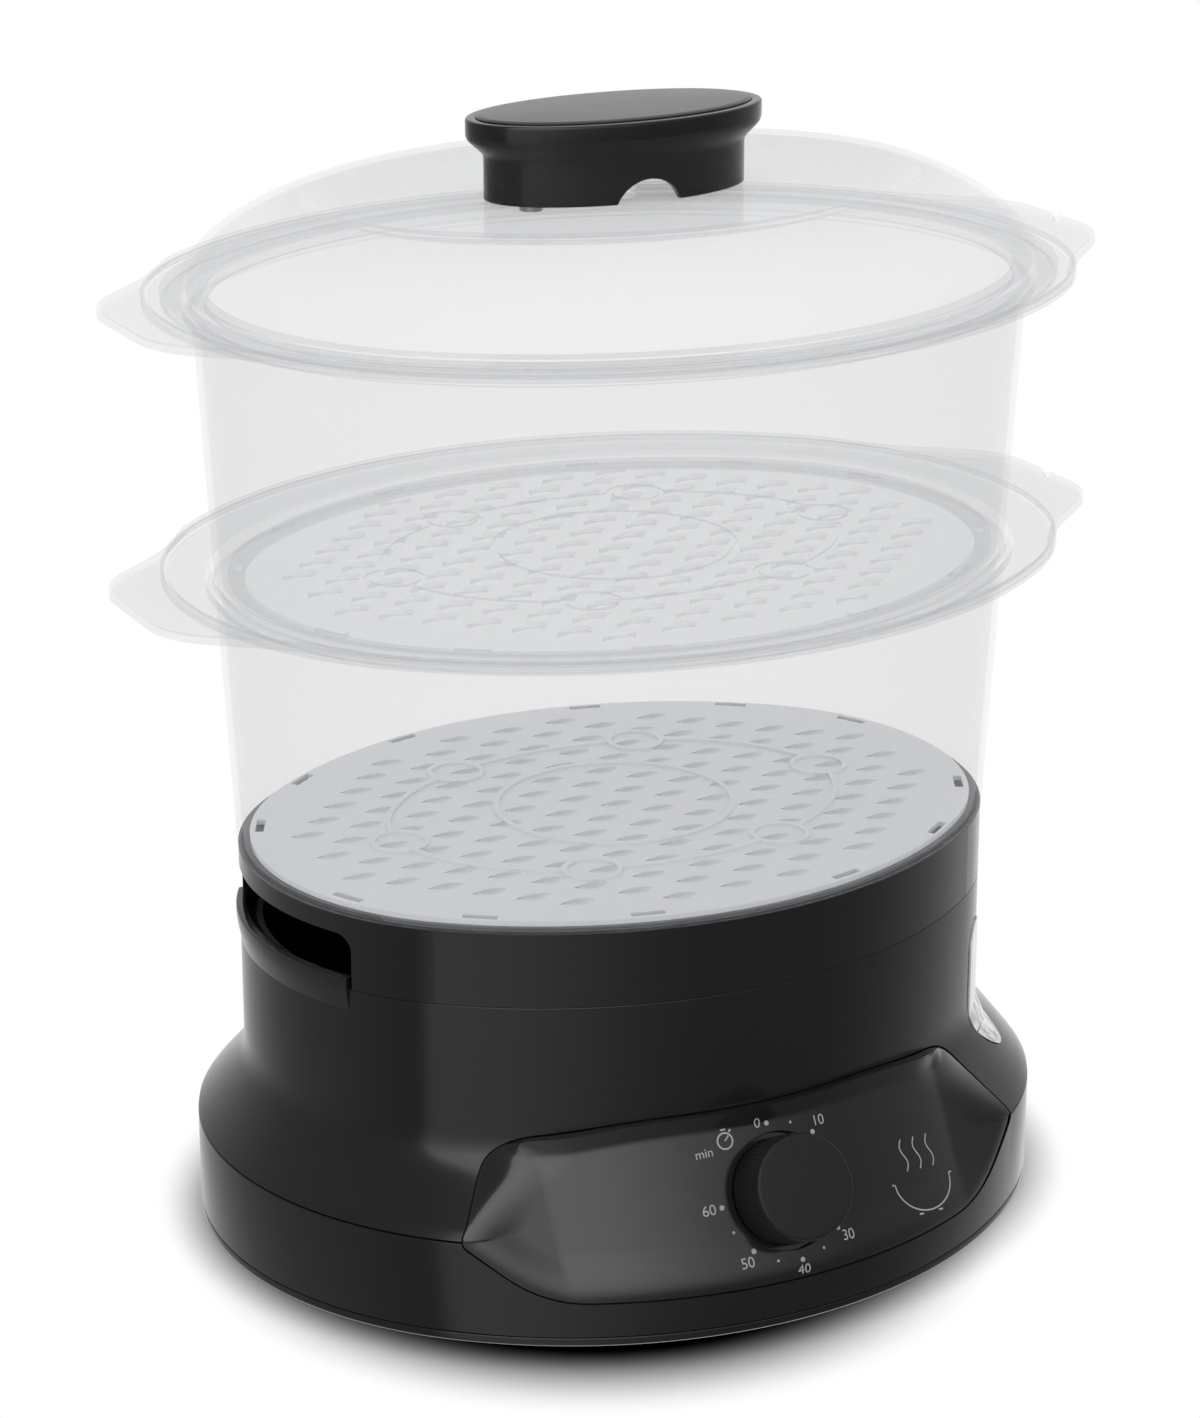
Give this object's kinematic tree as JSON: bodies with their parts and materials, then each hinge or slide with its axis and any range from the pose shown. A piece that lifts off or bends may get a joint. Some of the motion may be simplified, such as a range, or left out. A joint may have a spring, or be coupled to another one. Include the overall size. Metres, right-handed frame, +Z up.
{
  "type": "electric food steamer",
  "caption": "Oval electric food steamer: black base with timer knob, water tank and heater, drip tray, stacked clear baskets with grids, and a domed clear lid with handle.",
  "frame": {"origin": "on the worktop, under the middle of the overall box, which is the middle of the baskets' ovals", "axes": "+Z up, -Y towards the control panel, +X to the right along the long axis of the ovals"},
  "size_m": [0.305, 0.2488, 0.3333],
  "materials": {
    "satin_black": "satin moulded polypropylene",
    "gloss_black": "high gloss ABS",
    "matt_black": "fine matt",
    "clear_plastic": "clear polished plastic, slightly blue-grey",
    "window_clear": "clear, frosted inside",
    "milky_plastic": "translucent, satin",
    "foot_rubber": "matt",
    "aluminium_plate": "pressed, brushed",
    "steel": "zinc plated",
    "element_steel": "heat-tinted steel tube",
    "white_nylon": "unfilled nylon",
    "lead_insulation": "silicone sleeve",
    "seal_silicone": "soft silicone"
  },
  "bodies": {
    "base": {"bottom_plate": "satin_black", "rubber_feet": "foot_rubber", "bottom_screws": "steel", "lower_skirt": "satin_black", "housing_shoulder": "satin_black", "upper_housing": "satin_black", "level_window": "window_clear", "control_panel": "gloss_black", "cord_bush": "foot_rubber", "timer_body": "steel", "timer_bell": "steel", "timer_screws": "steel", "water_tank": "satin_black", "heater_seal": "seal_silicone", "heating_plate": "aluminium_plate", "heating_element": "element_steel", "heater_screws": "steel", "thermostat": "aluminium_plate", "thermal_fuse": "steel", "terminal_block": "white_nylon", "internal_leads": "lead_insulation"},
    "knob": {"timer_knob": "matt_black", "timer_shaft": "steel"},
    "ring": {"turbo_ring": "satin_black"},
    "tray": {"tray_collar": "satin_black", "drip_tray": "milky_plastic"},
    "lower_tier": {"lower_basket": "clear_plastic", "lower_basket_rim": "clear_plastic", "lower_basket_ears": "clear_plastic"},
    "lower_floor": {"lower_grid": "clear_plastic"},
    "upper_tier": {"upper_basket": "clear_plastic", "upper_basket_rim": "clear_plastic", "upper_basket_ears": "clear_plastic"},
    "upper_floor": {"upper_grid": "clear_plastic"},
    "cover": {"lid": "clear_plastic", "lid_handle": "satin_black", "lid_handle_cap": "satin_black", "handle_screws": "steel"}
  },
  "joints": [
    {"name": "knob_turn", "type": "hinge", "parent": "base", "child": "knob", "pos_m": [0, -0.105, 0.0366], "axis": [0, 0.878, -0.4787], "range_deg": [0, 270]},
    {"name": "ring_lift", "type": "slide", "parent": "base", "child": "ring", "axis": [0, 0, 1], "range_m": [0, 0.018]},
    {"name": "tray_lift", "type": "slide", "parent": "base", "child": "tray", "axis": [0, 0, 1], "range_m": [0, 0.1]},
    {"name": "lower_tier_lift", "type": "slide", "parent": "tray", "child": "lower_tier", "axis": [0, 0, 1], "range_m": [0, 0.12]},
    {"name": "lower_floor_lift", "type": "slide", "parent": "lower_tier", "child": "lower_floor", "axis": [0, 0, 1], "range_m": [0, 0.065]},
    {"name": "upper_tier_lift", "type": "slide", "parent": "lower_tier", "child": "upper_tier", "axis": [0, 0, 1], "range_m": [0, 0.12]},
    {"name": "upper_floor_lift", "type": "slide", "parent": "upper_tier", "child": "upper_floor", "axis": [0, 0, 1], "range_m": [0, 0.07]},
    {"name": "cover_lift", "type": "slide", "parent": "upper_tier", "child": "cover", "axis": [0, 0, 1], "range_m": [0, 0.12]}
  ]
}
